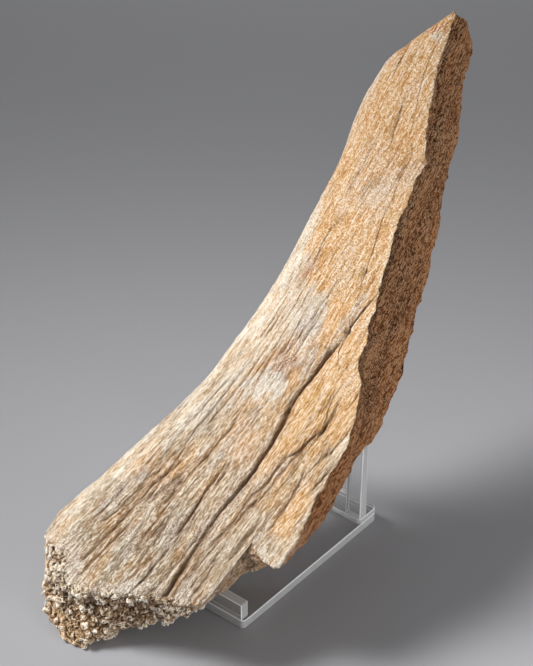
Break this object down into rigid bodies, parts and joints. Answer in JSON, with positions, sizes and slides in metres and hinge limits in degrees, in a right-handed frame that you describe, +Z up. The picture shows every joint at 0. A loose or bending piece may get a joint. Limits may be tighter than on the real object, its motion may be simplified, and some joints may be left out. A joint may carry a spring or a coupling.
{
  "type": "fossil mammoth leg bone on stand",
  "caption": "Broken piece of fossil mammoth leg bone with a fanned, furrowed lower end and open spongy bone at the heel, leaning back on a small clear acrylic stand.",
  "frame": {"origin": "the middle of the bounding box, on the surface that the object stands on", "axes": "+Z up, +Y from the bone's heel towards its raised tip, which is the back of the stand, +X to the right as seen from the front"},
  "size_m": [0.1354, 0.3008, 0.2279],
  "materials": {
    "fossil_bone": "dry, fibrous, ochre and cream with grey patches",
    "clear_acrylic": "clear, polished"
  },
  "bodies": {
    "root": {"bone": "fossil_bone", "acrylic_base": "clear_acrylic", "acrylic_front_lip": "clear_acrylic", "acrylic_rear_bar": "clear_acrylic", "acrylic_post_left": "clear_acrylic", "acrylic_post_right": "clear_acrylic"}
  },
  "joints": []
}
